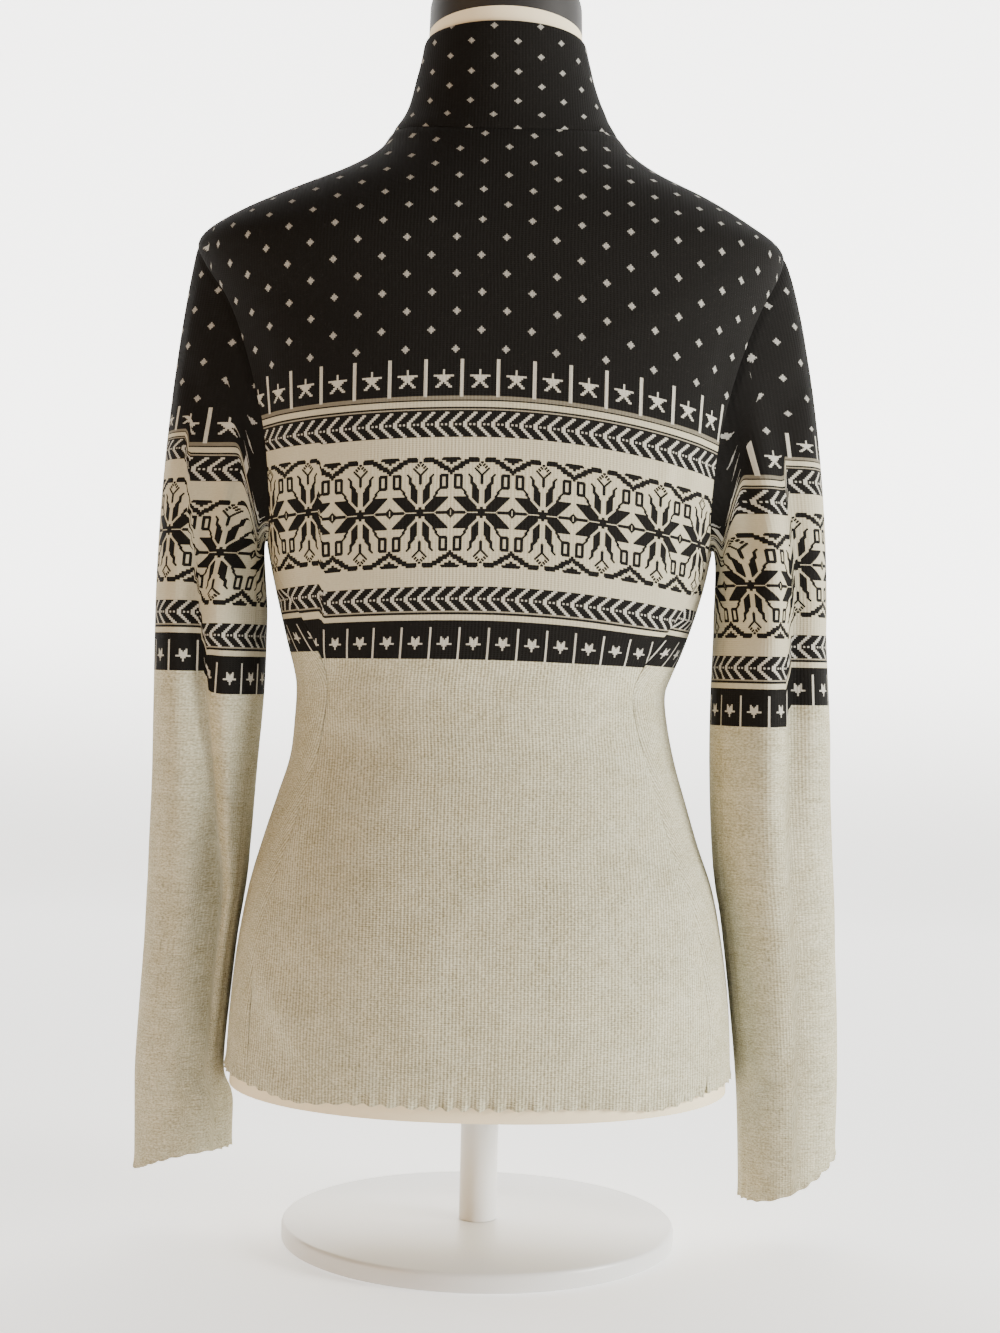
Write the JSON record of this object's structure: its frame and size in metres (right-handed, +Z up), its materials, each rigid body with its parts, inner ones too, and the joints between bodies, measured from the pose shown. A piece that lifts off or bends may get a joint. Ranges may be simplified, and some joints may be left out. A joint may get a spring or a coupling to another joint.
{
  "type": "fair isle knit jacket on a limbless dress form",
  "caption": "Slim knit jacket with a funnel collar, a front zip and traditional stranded bands, worn by a limbless dress form on a round stand.",
  "frame": {"origin": "under the middle of the stand's base, where it rests on the floor", "axes": "+Z up, +Y towards the wearer's front, +X towards the wearer's right"},
  "size_m": [0.4495, 0.25, 0.8039],
  "materials": {
    "fair_isle_knit": "stranded wool and cotton knit, black, cream and oatmeal",
    "form_jersey": "smooth cream jersey cover",
    "cap_lacquer": "matt black lacquer",
    "zip_tape": "woven black tape",
    "zip_metal": "antique nickel",
    "stand_metal": "pale grey satin paint"
  },
  "bodies": {
    "dressed_form": {"back": "fair_isle_knit", "front_left": "fair_isle_knit", "front_right": "fair_isle_knit", "sleeve_left": "fair_isle_knit", "sleeve_right": "fair_isle_knit", "collar": "fair_isle_knit", "zip_tape_left": "zip_tape", "zip_tape_right": "zip_tape", "zip_chain": "zip_metal", "zip_slider": "zip_metal", "form_torso": "form_jersey", "form_neck_cap": "cap_lacquer", "stand_pole": "stand_metal", "stand_base": "stand_metal"},
    "pull_tab": {"pull_tab": "zip_metal"}
  },
  "joints": [
    {"name": "pull_tab_hinge", "type": "hinge", "parent": "dressed_form", "child": "pull_tab", "pos_m": [0.00159, 0.06513, 0.73165], "axis": [1, 0, 0], "range_deg": [0, 170]}
  ]
}
